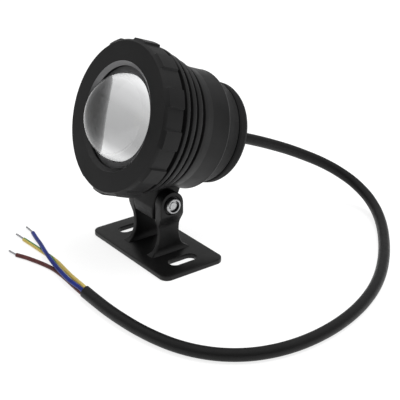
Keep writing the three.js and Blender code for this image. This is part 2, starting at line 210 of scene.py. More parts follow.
PAINT_HEAD = paint("paint_head", 0.0095, 0.0135)
PAINT_FOOT = paint("paint_foot", 0.0045, 0.0075, rough=(0.32, 0.42), grain=1500, specular=0.27)
PAINT_CAP = paint("paint_cap", 0.0115, 0.0155, rough=(0.5, 0.6), specular=0.06)
# lighter paint for the barrel's bead: a painted highlight along that edge
PAINT_BEAD_HIGHLIGHT = paint("paint_bead_painted_highlight", 0.045, 0.06, rough=(0.3, 0.4))
RUBBER = rubber("rubber_seal", 0.012, 0.02)
RUBBER_GREY = rubber("rubber_gasket", 0.1, 0.14, rough=(0.4, 0.5))
BOOT = rubber("rubber_boot", 0.008, 0.012, rough=(0.5, 0.62), specular=0.2)
JACKET = rubber("cable_jacket", 0.0035, 0.0058, rough=(0.36, 0.5), scale=1400, strength=0.25, specular=0.22)
STEEL = metal("steel_turned", (0.44, 0.445, 0.45), rough=(0.26, 0.36), ring_axis=0, centre=(0, 0, 0.03244), rings=2600.0)
# dark steel for the walls of the bolt head's recess: painted shade where those walls lie in shadow
STEEL_PAINTED_SHADE = metal("steel_painted_shade", (0.035, 0.035, 0.038), rough=(0.35, 0.5))
STEEL_PLAIN = metal("steel_plain", (0.45, 0.455, 0.46))
TINNED = metal("tinned_strands", (0.46, 0.46, 0.48), rough=(0.3, 0.45))
BLUE = plastic("insulation_blue", (0.008, 0.02, 0.19), 0.3)
BROWN = plastic("insulation_brown", (0.1, 0.031, 0.03), 0.25)


def striped(name, ground, stripe):
    """Yellow insulation with one green stripe; the stripe follows the mesh's own attribute."""
    m, nt, b = tree_of(name)
    at = nt.nodes.new("ShaderNodeAttribute")
    at.attribute_name = "stripe"
    coord = nt.nodes.new("ShaderNodeTexCoord").outputs["Object"]
    add = nt.nodes.new("ShaderNodeMath")
    add.operation = "MULTIPLY_ADD"
    add.inputs[1].default_value = 0.16
    nt.links.new(noise(nt, 900, 3, 0.6, coord), add.inputs[0])
    nt.links.new(at.outputs["Fac"], add.inputs[2])
    nt.links.new(ramp(nt, add.outputs[0], [(0.5, ground), (0.62, stripe)]), b.inputs["Base Color"])
    nt.links.new(spread(nt, noise(nt, 350, 3, 0.5, coord), 0.28, 0.42), b.inputs["Roughness"])
    bump(nt, b, noise(nt, 500, 3, 0.5, coord), 0.15, 0.00003)
    return m


YELLOW_GREEN = striped("insulation_yellow_green", (0.62, 0.47, 0.1), (0.09, 0.24, 0.06))


def glass(name):
    m, nt, b = tree_of(name)
    b.inputs["Base Color"].default_value = (0.985, 0.99, 0.995, 1)
    b.inputs["Transmission Weight"].default_value = 1.0
    b.inputs["IOR"].default_value = 1.46
    coord = nt.nodes.new("ShaderNodeTexCoord").outputs["Object"]
    nt.links.new(spread(nt, noise(nt, 90, 3, 0.5, coord), 0.015, 0.035), b.inputs["Roughness"])
    bump(nt, b, noise(nt, 35, 2, 0.5, coord), 0.06, 0.0001)
    return m


GLASS = glass("lens_glass")


def bevel_with_painted_highlight(name):
    """The bezel's inner bevel: a painted highlight, light grey along its upper arc, dark paint below."""
    m, nt, b = tree_of(name)
    coord = nt.nodes.new("ShaderNodeTexCoord").outputs["Object"]
    # painted highlight: the base colour turns light grey on the bevel's upper arc, on this side of its centre
    away = UP * 0.985 + Vector((1, 0, 0)) * 0.174
    sub = nt.nodes.new("ShaderNodeVectorMath")
    sub.operation = "SUBTRACT"
    sub.inputs[1].default_value = head_point(0, 40, AXIS_H)
    nt.links.new(coord, sub.inputs[0])
    dot = nt.nodes.new("ShaderNodeVectorMath")
    dot.operation = "DOT_PRODUCT"
    dot.inputs[1].default_value = away
    nt.links.new(sub.outputs[0], dot.inputs[0])
    span = nt.nodes.new("ShaderNodeMapRange")
    span.interpolation_type = "SMOOTHSTEP"
    span.inputs["From Min"].default_value, span.inputs["From Max"].default_value = -0.006, 0.014
    nt.links.new(dot.outputs["Value"], span.inputs["Value"])
    add = nt.nodes.new("ShaderNodeMath")
    add.operation = "MULTIPLY_ADD"
    add.inputs[1].default_value = 0.12
    nt.links.new(noise(nt, 300, 4, 0.6, coord), add.inputs[0])
    nt.links.new(span.outputs["Result"], add.inputs[2])
    nt.links.new(ramp(nt, add.outputs[0], [(0.05, grey(0.014)), (1.0, grey(0.27))]), b.inputs["Base Color"])
    nt.links.new(spread(nt, noise(nt, 240, 4, 0.6, coord), 0.3, 0.4), b.inputs["Roughness"])
    b.inputs["Specular IOR Level"].default_value = 0.3
    bump(nt, b, noise(nt, 1500, 3, 0.5, coord), 0.12, 0.00002)
    return m


BEVEL_PAINTED_HIGHLIGHT = bevel_with_painted_highlight("paint_bevel_painted_highlight")


# ------------------------------------------------------------------ mesh making
def rounded(points, radius, closed=True, steps=3, keep=()):
    """A 2-D outline with its corners rounded. radius is one number, or one for each corner."""
    n = len(points)
    radii = radius if isinstance(radius, (list, tuple)) else [radius] * n
    out = []
    for i, p in enumerate(points):
        r = radii[i]
        if (not closed and i in (0, n - 1)) or r <= 0 or i in keep:
            out.append(tuple(p))
            continue
        a, b, c = Vector(points[i - 1]), Vector(p), Vector(points[(i + 1) % n])
        u, v = a - b, c - b
        if u.length < 1e-9 or v.length < 1e-9:
            out.append(tuple(p))
            continue
        cut = min(1.0, max(-1.0, u.normalized().dot(v.normalized())))
        half = math.acos(cut) / 2
        if half > math.radians(86):
            out.append(tuple(p))
            continue
        reach = min(r / math.tan(half), 0.46 * u.length, 0.46 * v.length)
        real = reach * math.tan(half)
        s, e = b + u.normalized() * reach, b + v.normalized() * reach
        mid = b + (u.normalized() + v.normalized()).normalized() * (real / math.sin(half))
        a0 = math.atan2(s.y - mid.y, s.x - mid.x)
        a1 = math.atan2(e.y - mid.y, e.x - mid.x)
        d = (a1 - a0 + math.pi) % (2 * math.pi) - math.pi
        for k in range(steps + 1):
            t = a0 + d * k / steps
            out.append((mid.x + real * math.cos(t), mid.y + real * math.sin(t)))
    return out


def finish_mesh(name, verts, faces, material, sharp=32, body=None, replaces=()):
    me = bpy.data.meshes.new(name)
    me.from_pydata([tuple(v) for v in verts], [], faces)
    bm = bmesh.new()
    bm.from_mesh(me)
    bmesh.ops.remove_doubles(bm, verts=bm.verts, dist=1e-8)
    bmesh.ops.recalc_face_normals(bm, faces=bm.faces)
    if bm.calc_volume(signed=True) < 0:
        bmesh.ops.reverse_faces(bm, faces=bm.faces)
    bm.to_mesh(me)
    bm.free()
    me.materials.append(material)
    o = bpy.data.objects.new(name, me)
    bpy.context.scene.collection.objects.link(o)
    smooth(o, sharp)
    if replaces:
        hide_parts(*replaces)
    if body:
        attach(o, body)
    return o


def smooth(o, sharp=32):
    me = o.data
    me.polygons.foreach_set("use_smooth", [True] * len(me.polygons))
    me.set_sharp_from_angle(angle=math.radians(sharp))
    me.update()


def lathe(profile, segments=144, radius_of=None, angles=None, place=None, closed=True):
    """Vertices and faces of a turned ring on the lamp axis. radius_of(angle, index, s, r) may move a point."""
    place = place or (lambda s, r, a: head_point(r * math.cos(a), s, AXIS_H + r * math.sin(a)))
    angles = angles or [2 * math.pi * i / segments for i in range(segments)]
    n, verts, faces = len(profile), [], []
    for a in angles:
        for k, (s, r) in enumerate(profile):
            if radius_of:
                s2, r2 = radius_of(a, k, s, r)
            else:
                s2, r2 = s, r
            verts.append(place(s2, r2, a))
    m = len(angles)
    for i in range(m):
        j = (i + 1) % m
        for k in range(n if closed else n - 1):
            l = (k + 1) % n
            faces.append((i * n + k, j * n + k, j * n + l, i * n + l))
    return verts, faces


def disc_lathe(profile, segments=96, place=None):
    """A turned solid whose profile starts and ends on the axis."""
    place = place or (lambda s, r, a: head_point(r * math.cos(a), s, AXIS_H + r * math.sin(a)))
    inner = profile[1:-1]
    n, verts, faces = len(inner), [], []
    for i in range(segments):
        a = 2 * math.pi * i / segments
        verts += [place(s, r, a) for s, r in inner]
    first, last = len(verts), len(verts) + 1
    verts += [place(profile[0][0], 0, 0), place(profile[-1][0], 0, 0)]
    for i in range(segments):
        j = (i + 1) % segments
        for k in range(n - 1):
            faces.append((i * n + k, j * n + k, j * n + k + 1, i * n + k + 1))
        faces.append((first, j * n, i * n))
        faces.append((last, i * n + n - 1, j * n + n - 1))
    return verts, faces


def bolt_place(x, r, a):
    return Vector((x, r * math.cos(a), 32.44 + r * math.sin(a))) * MM


def catmull(points, n=10):
    """Points on a centripetal Catmull-Rom curve."""
    p = [Vector(q) for q in points]
    p = [p[0] * 2 - p[1], *p, p[-1] * 2 - p[-2]]
    out = []
    for i in range(1, len(p) - 2):
        p0, p1, p2, p3 = p[i - 1:i + 3]
        t0 = 0.0
        t1 = t0 + (p1 - p0).length ** 0.5
        t2 = t1 + (p2 - p1).length ** 0.5
        t3 = t2 + (p3 - p2).length ** 0.5
        for k in range(n):
            t = t1 + (t2 - t1) * k / n
            a1 = p0 * ((t1 - t) / (t1 - t0)) + p1 * ((t - t0) / (t1 - t0))
            a2 = p1 * ((t2 - t) / (t2 - t1)) + p2 * ((t - t1) / (t2 - t1))
            a3 = p2 * ((t3 - t) / (t3 - t2)) + p3 * ((t - t2) / (t3 - t2))
            b1 = a1 * ((t2 - t) / (t2 - t0)) + a2 * ((t - t0) / (t2 - t0))
            b2 = a2 * ((t3 - t) / (t3 - t1)) + a3 * ((t - t1) / (t3 - t1))
            out.append(b1 * ((t2 - t) / (t2 - t1)) + b2 * ((t - t1) / (t2 - t1)))
    out.append(p[-2])
    return out


def frames_along(line):
    """A tangent and two cross directions at each point, carried along without twist."""
    tangents = []
    for i in range(len(line)):
        a, b = line[max(0, i - 1)], line[min(len(line) - 1, i + 1)]
        tangents.append((b - a).normalized())
    side = tangents[0].cross(Vector((0, 0, 1)))
    side = side.normalized() if side.length > 1e-6 else Vector((1, 0, 0))
    out = []
    for t in tangents:
        side = (side - t * side.dot(t)).normalized()
        out.append((t, side, t.cross(side).normalized()))
    return out


def tube(line, rings, sides, ends):
    """A closed tube. rings gives the radius at each point; ends gives extra rings (offset along, radius) past each end, the last one capped."""
    fr = frames_along(line)
    sections = []
    for off, r in reversed(ends[0]):
        sections.append((line[0] - fr[0][0] * off, fr[0], r))
    for p, f, r in zip(line, fr, rings):
        sections.append((p, f, r))
    for off, r in ends[1]:
        sections.append((line[-1] + fr[-1][0] * off, fr[-1], r))
    verts, faces = [], []
    for c, (t, u, v), r in sections:
        for k in range(sides):
            a = 2 * math.pi * k / sides
            rr = r(a) if callable(r) else r
            verts.append((c + u * (rr * math.cos(a)) + v * (rr * math.sin(a))) * MM)
    for i in range(len(sections) - 1):
        for k in range(sides):
            l = (k + 1) % sides
            faces.append((i * sides + k, i * sides + l, (i + 1) * sides + l, (i + 1) * sides + k))
    faces.append(tuple(range(sides))[::-1])
    last = (len(sections) - 1) * sides
    faces.append(tuple(range(last, last + sides)))
    return verts, faces, sections


# ------------------------------------------------------------------ the lead, next
CABLE = [[0, 51.98, 56.68], [0, 56.67, 54.79], [0.2, 63.5, 52.2], [0.7, 74.6, 47.7], [1.6, 85.6, 42.9], [3.2, 96.4, 37.9], [5.7, 106.9, 32.5], [9.4, 116.9, 26.9], [15.2, 125.5, 20.9], [23.8, 131.2, 14.9], [34.6, 132.1, 9.9], [45.6, 128.6, 6.7], [55.9, 122.6, 4.9], [65.4, 115.4, 3.9], [74.4, 107.4, 3.5], [83.0, 99.0, 3.4], [91.2, 90.2, 3.4], [99.0, 80.9, 3.4], [106.1, 71.3, 3.4], [112.5, 61.1, 3.4], [118.0, 50.4, 3.4], [122.6, 39.2, 3.4], [126.1, 27.7, 3.4], [128.5, 15.9, 3.4], [129.6, 4.0, 3.4], [129.2, -8.1, 3.4], [126.9, -19.9, 3.4], [122.4, -31.0, 3.4], [115.4, -40.8, 3.4], [106.3, -48.6, 3.4], [95.8, -54.3, 3.4], [84.3, -58.1, 3.4], [72.6, -60.5, 3.4], [60.6, -61.9, 3.4], [48.6, -62.6, 3.4], [36.6, -62.6, 3.4], [24.5, -62.3, 3.4]]
CORES = {
    "core_blue": [[25.1, -63.5, 4.30], [21.9, -63.3, 4.35], [15.9, -63.1, 4.00], [9.0, -63.0, 3.75], [1.2, -62.2, 3.75], [-6.3, -61.3, 3.85], [-13.0, -60.3, 4.05], [-19.9, -58.9, 4.1], [-28.2, -56.9, 3.85], [-37.7, -54.1, 3.05], [-47.6, -51.5, 2.00], [-56.3, -49.1, 1.30]],
    "core_yellow_green": [[23.9, -61.1, 4.00], [20.5, -60.5, 3.80], [12.9, -59.4, 2.90], [4.1, -58.3, 2.00], [-5.8, -56.9, 1.40], [-15.7, -55.8, 1.30], [-24.7, -55.8, 1.30], [-33.1, -56.3, 1.30], [-42.6, -56.8, 1.30], [-51.8, -57.4, 1.30]],
    "core_brown": [[23.8, -63.2, 2.00], [19.9, -62.9, 1.70], [12.8, -62.3, 1.40], [6.0, -61.7, 1.30], [-1.6, -61.4, 1.30], [-9.9, -61.6, 1.30], [-17.5, -63.0, 1.30], [-24.6, -65.0, 1.30], [-31.0, -67.2, 1.30], [-37.1, -69.9, 1.30]],
}
TIPS = {
    "tip_blue": [[-56.9, -48.9, 1.30], [-61.4, -48.6, 1.25], [-65.4, -48.4, 1.20]],
    "tip_yellow_green": [[-52.3, -57.3, 1.30], [-56.4, -57.3, 1.25], [-60.6, -57.6, 1.20]],
    "tip_brown": [[-37.5, -69.9, 1.30], [-40.7, -70.4, 1.25], [-44.1, -70.8, 1.20]],
}


def make_lead():
    line = catmull(CABLE, 12)
    r = 3.3
    # the far end is cut square: the wall's rim, then a shallow recess where the cores come out
    far = [(0.14, r - 0.02), (0.2, r - 0.09), (0.2, r - 0.12), (0.2, 2.55), (0.16, 2.5), (-0.2, 2.48), (-1.9, 2.45)]
    near = [(0.25, r)]
    v, f, _ = tube(line, [r] * len(line), 32, (near, far))
    # cut by hand, so a little off square
    away = (line[-1] - line[-2]).normalized()
    lean = Vector((0.7290, -0.5420, 0.4180))
    lean = (lean - away * lean.dot(away)).normalized()
    for i, p in enumerate(v):
        q = p / MM - line[-1]
        near_end = max(0.0, min(1.0, 1.0 + q.dot(away) / 3.0)) if q.length < 12 else 0.0
        v[i] = p - away * (0.5 * q.dot(lean) * near_end) * MM
    jacket = finish_mesh("lead_jacket", v, f, JACKET, sharp=50, replaces=["cable"])
    for name, pts in CORES.items():
        first, second = Vector(pts[0]), Vector(pts[1])
        core = catmull([first + (first - second).normalized() * 1.1, *pts], 10)
        cr = 1.2
        v, f, sections = tube(core, [cr] * len(core), 20, ([(0.0, cr)], [(0.08, cr - 0.05), (0.13, cr - 0.16), (0.14, 0.45)]))
        mat, sl = {"core_blue": (BLUE, "core_blue"), "core_yellow_green": (YELLOW_GREEN, "core_yellow_green"), "core_brown": (BROWN, "core_brown")}[name]
        me_o = finish_mesh("wire_" + name, v, f, mat, sharp=50, body="foot", replaces=[name])
        if name == "core_yellow_green":
            # the stripe turns slowly round the core
            at = me_o.data.attributes.new("stripe", "FLOAT", "POINT")
            centres = [s[0] * MM for s in sections]
            fr = [s[1] for s in sections]
            values = []
            for vert in me_o.data.vertices:
                d = [(vert.co - c).length_squared for c in centres]
                i = d.index(min(d))
                t, a, b = fr[i]
                off = vert.co - centres[i]
                angle = math.atan2(off.dot(b), off.dot(a))
                k = max(0.0, min(1.0, (i / len(centres) - 0.5) / 0.22))
                want = -3.95 + 2.65 * k * k * (3 - 2 * k)
                gap = abs((angle - want + math.pi) % (2 * math.pi) - math.pi)
                values.append(max(0.0, min(1.0, 1.0 - (gap - 0.45) / 0.5)))
            at.data.foreach_set("value", values)
    for name, pts in TIPS.items():
        # seven tinned strands, lightly twisted
        first, second = Vector(pts[0]), Vector(pts[1])
        line2 = catmull([first + (first - second).normalized() * 1.6, *pts], 10)
        fr = frames_along(line2)
        verts, faces = [], []
        for k in range(7):
            sub = []
            for i, (p, (t, a, b)) in enumerate(zip(line2, fr)):
                turn = 2 * math.pi * k / 6 + i * 0.16
                reach = 0.0 if k == 6 else 0.38
                end = 1.0 + (0.5 if k % 2 else 0.2) * max(0.0, i / len(line2) - 0.8)
                sub.append(p + (a * math.cos(turn) + b * math.sin(turn)) * reach * end)
            v, f, _ = tube(sub, [0.21] * len(sub), 8, ([], [(0.05 + 0.05 * (k % 3), 0.14)]))
            base = len(verts)
            verts += v
            faces += [tuple(base + q for q in face) for face in f]
        finish_strands("strands_" + name, verts, faces, name)
    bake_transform(jacket)


def finish_strands(name, verts, faces, node):
    me = bpy.data.meshes.new(name)
    me.from_pydata([tuple(v) for v in verts], [], faces)
    bm = bmesh.new()
    bm.from_mesh(me)
    bmesh.ops.recalc_face_normals(bm, faces=bm.faces)
    bm.to_mesh(me)
    bm.free()
    me.materials.append(TINNED)
    o = bpy.data.objects.new(name, me)
    bpy.context.scene.collection.objects.link(o)
    smooth(o, 50)
    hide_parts(node)
    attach(o, "foot")
    return o


make_lead()


# ------------------------------------------------------------------ front bezel with its twelve grip pads
def make_bezel():
    #        s,    R,   s on a pad, R on a pad, corner radius
    rows = [
        (41.1, 29.7, 41.1, 29.7, 0.12), (41.1, 33.0, 41.1, 33.0, 0), (41.1, 36.0, 41.1, 36.0, 0),
        (41.1, 40.4, 41.1, 40.4, 0.25), (39.75, 41.35, 39.75, 41.35, 0.2), (39.0, 41.4, 39.05, 42.45, 0.2),
        (35.0, 41.4, 35.0, 42.5, 0), (29.3, 41.4, 29.3, 42.5, 0.3),
        (29.3, 37.1, 29.3, 37.1, 0.1), (37.6, 37.1, 37.6, 37.1, 0.1), (37.6, 27.4, 37.6, 27.4, 0.15), (39.2, 27.4, 39.2, 27.4, 0.12),
    ]
    radii = [r[4] for r in rows]
    base = rounded([(a, b) for a, b, *_ in rows], radii, steps=3)
    pad = rounded([(c, d) for _, _, c, d, _ in rows], radii, steps=3)
    # the two outlines keep one point for one point
    if len(base) != len(pad):
        base = [(a, b) for a, b, *_ in rows]
        pad = [(c, d) for _, _, c, d, _ in rows]
    half = math.radians(7)
    wall = math.radians(0.42)
    marks = []
    for k in range(12):
        c = k * math.pi / 6
        for sgn in (-1, 1):
            e = c + sgn * half
            for off, t in ((-1.0, 1), (-0.72, 0.93), (-0.45, 0.72), (0.0, 0.5), (0.45, 0.28), (0.72, 0.07), (1.0, 0)):
                marks.append((e + sgn * off * wall, float(t)))
        for i in range(1, 6):
            marks.append((c - half + wall + (2 * half - 2 * wall) * i / 6, 1.0))
        a0, a1 = c + half + wall, c + math.pi / 6 - half - wall
        for i in range(1, 7):
            marks.append((a0 + (a1 - a0) * i / 7, 0.0))
    marks.sort(key=lambda m: m[0])
    verts, faces, n = [], [], len(base)
    for a, t in marks:
        for (s0, r0), (s1, r1) in zip(base, pad):
            verts.append(head_point((r0 + (r1 - r0) * t) * math.cos(a), s0 + (s1 - s0) * t, AXIS_H + (r0 + (r1 - r0) * t) * math.sin(a)))
    m = len(marks)
    for i in range(m):
        j = (i + 1) % m
        for k in range(n):
            l = (k + 1) % n
            faces.append((i * n + k, j * n + k, j * n + l, i * n + l))
    o = finish_mesh("bezel", verts, faces, PAINT_HEAD, sharp=34, body="head", replaces=["front_bezel"])
    o.data.materials.append(BEVEL_PAINTED_HIGHLIGHT)
    centre = head_point(0, 0, AXIS_H)
    # the inner bevel's faces take the material with the painted highlight on its upper arc
    for p in o.data.polygons:
        d = p.center - centre
        along = d.dot(FRONT) / MM
        out = (d - FRONT * d.dot(FRONT)).length / MM
        if 39.05 < along < 41.08 and 27.2 < out < 29.9:
            p.material_index = 1


make_bezel()


# ------------------------------------------------------------------ housing: ribbed barrel and hanging lug
def boolean(target, cutter, operation):
    mod = target.modifiers.new("b", "BOOLEAN")
    mod.object, mod.operation, mod.solver = cutter, operation, "EXACT"
    dg = bpy.context.evaluated_depsgraph_get()
    made = bpy.data.meshes.new_from_object(target.evaluated_get(dg))
    target.modifiers.clear()
    old = target.data
    target.data = made
    bpy.data.meshes.remove(old)
    bpy.data.objects.remove(cutter)


def raw(name, verts, faces):
    me = bpy.data.meshes.new(name)
    me.from_pydata([tuple(v) for v in verts], [], faces)
    bm = bmesh.new()
    bm.from_mesh(me)
    bmesh.ops.remove_doubles(bm, verts=bm.verts, dist=1e-8)
    bmesh.ops.recalc_face_normals(bm, faces=bm.faces)
    if bm.calc_volume(signed=True) < 0:
        bmesh.ops.reverse_faces(bm, faces=bm.faces)
    bm.to_mesh(me)
    bm.free()
    o = bpy.data.objects.new(name, me)
    bpy.context.scene.collection.objects.link(o)
    return o


def rod_x(x0, x1, r, segments=48, centre=None):
    """A cylinder along X about the tilt bolt."""
    cy, cz = centre or (0.0, 32.44)
    verts, faces = [], []
    for x in (x0, x1):
        for k in range(segments):
            a = 2 * math.pi * k / segments
            verts.append(Vector((x, cy + r * math.cos(a), cz + r * math.sin(a))) * MM)
    for k in range(segments):
        l = (k + 1) % segments
        faces.append((k, l, segments + l, segments + k))
    faces += [tuple(range(segments))[::-1], tuple(range(segments, 2 * segments))]
    return raw("rod", verts, faces)


def make_housing():
    rows = [
        (37, 34, .2), (37, 36.8, .3), (26.1, 36.8, .1), (25.9, 40.6, .45), (23.5, 40.3, .45), (23.1, 31.8, .25), (20.7, 31.8, .25), (20.4, 38.8, .4), (17.5, 38.4, .4),
        (17.1, 31.6, .25), (15.1, 31.6, .25), (14.8, 36.8, .4), (11.6, 36.4, .4), (11.2, 31.4, .25), (9, 31.4, .25), (8.6, 35, .4), (5.5, 34.4, 3), (2, 33.7, 3), (-4, 33.6, 0), (-9.6, 33.5, .1), (-9.7, 33.62, .06), (-10.05, 33.62, .06), (-10.15, 33.2, .1),
        (-11.2, 32.7, 2), (-13, 31.9, 3), (-18, 29.7, 3), (-21, 28.8, .4), (-21.7, 28.2, .15), (-21.7, 25.2, 0), (5.5, 25.2, 0), (5.5, 4, 0), (12, 4, 0), (12, 28.5, 0), (31.6, 28.5, 0), (31.6, 34, 0),
    ]
    profile = rounded([(a, b) for a, b, _ in rows], [c for *_, c in rows], steps=3)
    v, f = lathe(profile, 160)
    body = raw("barrel", v, f)
    # the lug: a rounded block, narrower at its foot, about the bolt
    side = rounded([(7.5, 14), (7.4, -4.9), (6.4, -7.6), (4.4, -11.3), (-4.4, -11.3), (-6.4, -7.6), (-7.3, -4.9), (-7.3, 14)], [0, 3, 2, 1.5, 1.5, 2, 3, 0], steps=5)
    verts, faces, n = [], [], len(side)

    def half_width(h):
        return 9.9 if h > -1 else 9.9 - 1.4 * min(1.0, (-1 - h) / 10.5)

    layers = [(-1.0, 0.90), (-0.985, 0.955), (-0.95, 0.99), (-0.9, 1.0), (0, 1.0), (0.9, 1.0), (0.95, 0.99), (0.985, 0.955), (1.0, 0.90)]
    for fx, shrink in layers:
        for s, h in side:
            k = shrink if h < 13 else 1.0
            verts.append(head_point(fx * half_width(h), s * (1 - (1 - k) * 0.6), h if h > 13 else h + (1 - k) * 6 * (1 if h < -8 else 0.0)))
    for i in range(len(layers) - 1):
        for k in range(n):
            l = (k + 1) % n
            faces.append((i * n + k, i * n + l, (i + 1) * n + l, (i + 1) * n + k))
    faces += [tuple(range(n)), tuple(range((len(layers) - 1) * n, len(layers) * n))[::-1]]
    boolean(body, raw("lug", verts, faces), "UNION")
    boolean(body, rod_x(-14, 14, 2.8), "DIFFERENCE")
    body.name = "barrel"
    body.data.materials.append(PAINT_HEAD)
    body.data.materials.append(PAINT_BEAD_HIGHLIGHT)
    body.data.materials.append(PAINT_CAP)
    centre = head_point(0, 0, AXIS_H)
    for p in body.data.polygons:
        d = p.center - centre
        along = d.dot(FRONT) / MM
        out = (d - FRONT * d.dot(FRONT)).length / MM
        # the bead at the step takes the lighter paint: a painted highlight along its edge
        if -10.1 < along < -9.62 and out > 33.45:
            p.material_index = 1
        elif along < -10.1 and out > 28:
            p.material_index = 2
    smooth(body, 30)
    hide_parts("housing")
    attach(body, "head")


make_housing()


# ------------------------------------------------------------------ lens and its gasket
def make_lens():
    profile = [(33.3, 0), (33.3, 20), (33.3, 33.1), (33.4, 33.32), (33.6, 33.4), (36.0, 33.4), (36.2, 33.3), (36.25, 33.1), (36.25, 24.2), (36.27, 23.8), (36.4, 23.6)]
    steps = 40
    for i in range(1, steps + 1):
        t = math.pi / 2 * i / steps
        profile.append((36.3 + 19.3 * math.sin(t), 0 if i == steps else 23.6 * math.cos(t)))
    v, f = disc_lathe(profile, 128)
    finish_mesh("lens_dome", v, f, GLASS, sharp=40, body="head", replaces=["lens"])
    ring = [(36.55, 24.3), (36.65, 24.2), (37.1, 24.2)]
    r = 24.35
    while r < 31.2:
        ring += [(37.3, r), (37.3, r + 0.32), (37.12, r + 0.42), (37.12, r + 0.62)]
        r += 0.74
    ring += [(37.1, 31.6), (36.65, 31.6), (36.55, 31.5)]
    v, f = lathe(ring, 128)
    finish_mesh("gasket", v, f, RUBBER_GREY, sharp=40, body="head", replaces=["lens_gasket"])


make_lens()


# ------------------------------------------------------------------ rear cap, gland, boot
def make_rear():
    rows = [
        (-22, 24.9, 0), (-22, 28.6, .2), (-23, 29, .4), (-26.5, 28.7, 1.5), (-28.6, 27.6, 1.5), (-29.7, 26, 1.0), (-30, 24.3, .6), (-30, 8.4, .3), (-33, 8.4, .35),
        (-33, 6.4, .1), (-29, 6.4, 0), (-29, 3.9, 0), (-26.8, 3.9, 0), (-26.8, 22.4, 0), (-15, 22.4, 0), (-15, 24.9, .2), (-17, 24.9, 0), (-17, 23.6, 0), (-19.4, 23.6, 0), (-19.4, 24.9, 0),
    ]
    profile = rounded([(a, b) for a, b, _ in rows], [c for *_, c in rows], steps=4)
    v, f = lathe(profile, 144)
    cap = raw("cap", v, f)
    # four spanner recesses in the rear face
    for k in range(4):
        a = math.pi / 4 + k * math.pi / 2
        cx, ch = 18.5 * math.cos(a), AXIS_H + 18.5 * math.sin(a)
        verts, faces, n = [], [], 24
        for s, r in ((-31, 2.1), (-28.6, 2.1), (-28.4, 1.9)):
            for i in range(n):
                t = 2 * math.pi * i / n
                verts.append(head_point(cx + r * math.cos(t), s, ch + r * math.sin(t)))
        for q in range(2):
            for i in range(n):
                j = (i + 1) % n
                faces.append((q * n + i, q * n + j, (q + 1) * n + j, (q + 1) * n + i))
        faces += [tuple(range(n)), tuple(range(2 * n, 3 * n))[::-1]]
        boolean(cap, raw("pin", verts, faces), "DIFFERENCE")
    cap.name = "cap_rear"
    cap.data.materials.append(PAINT_CAP)
    smooth(cap, 30)
    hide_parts("rear_cap")
    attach(cap, "head")

    # gland nut: a hexagon with turned corners
    def hexed(a, k, s, r):
        if r < 6.5:
            return s, r
        t = (a + math.pi / 6) % (math.pi / 3) - math.pi / 6
        flat = 7.0 / math.cos(t)
        return s, min(r, flat)

    ring = rounded([(-33.3, 7.6), (-33.5, 8.0), (-35.2, 8.0), (-35.8, 7.3), (-36, 6.9), (-36, 5.9), (-33.3, 5.9)], [0.1, 0.15, 0.2, 0.2, 0.2, 0.1, 0.1], steps=2)
    v, f = lathe(ring, 144, radius_of=hexed)
    finish_mesh("gland", v, f, PAINT_CAP, sharp=35, body="head", replaces=["gland_nut"])

    # tapered boot with four ribs, whose lip closes on the lead
    rows = [(-33.5, 3.45), (-33.5, 5.6), (-36.3, 5.55), (-36.7, 5.0), (-37.1, 5.3), (-37.5, 5.25), (-37.9, 4.75), (-38.3, 5.0), (-38.7, 4.9), (-39.1, 4.45), (-39.5, 4.65), (-40.0, 4.5), (-40.5, 3.95), (-40.7, 3.42)]
    v, f = lathe(rounded(rows, 0.14, steps=2), 72)
    finish_mesh("boot", v, f, BOOT, sharp=60, body="head", replaces=["strain_relief"])


make_rear()


# ------------------------------------------------------------------ foot: slotted plate and clevis
def grid_prism(outline, z0, z1, edge=0.35):
    """A plate with rounded top and bottom edges, from an outline given anticlockwise."""
    n, verts, faces = len(outline), [], []

    def inset(points, d):
        out = []
        for i in range(n):
            a, b, c = Vector(points[i - 1]), Vector(points[i]), Vector(points[(i + 1) % n])
            t = ((b - a).normalized() + (c - b).normalized())
            t = t.normalized() if t.length > 1e-9 else (c - b).normalized()
            out.append((b.x - t.y * d, b.y + t.x * d))
        return out

    levels = []
    for k in range(4):
        a = math.pi / 2 * k / 3
        levels.append((z0 + edge * (1 - math.sin(a)), edge * (1 - math.cos(a))))
    low = [(z0 + edge * (1 - math.cos(math.pi / 2 * k / 3)), edge * (1 - math.sin(math.pi / 2 * k / 3))) for k in range(4)]
    high = [(z1 - edge * (1 - math.sin(math.pi / 2 * k / 3)), edge * (1 - math.cos(math.pi / 2 * k / 3))) for k in range(4)]
    for z, d in low + high:
        for x, y in inset(outline, d):
            verts.append(Vector((x, y, z)) * MM)
    m = len(low + high)
    for i in range(m - 1):
        for k in range(n):
            l = (k + 1) % n
            faces.append((i * n + k, i * n + l, (i + 1) * n + l, (i + 1) * n + k))
    faces += [tuple(range(n))[::-1], tuple(range((m - 1) * n, m * n))]
    return verts, faces


def corner_rect(w, h, r, n=10, cx=0.0, cy=0.0):
    out = []
    for sx, sy, a0 in ((1, 1, 0), (-1, 1, 90), (-1, -1, 180), (1, -1, 270)):
        for i in range(n + 1):
            a = math.radians(a0 + 90 * i / n)
            out.append((cx + sx * (w / 2 - r) + r * math.cos(a), cy + sy * (h / 2 - r) + r * math.sin(a)))
    return out


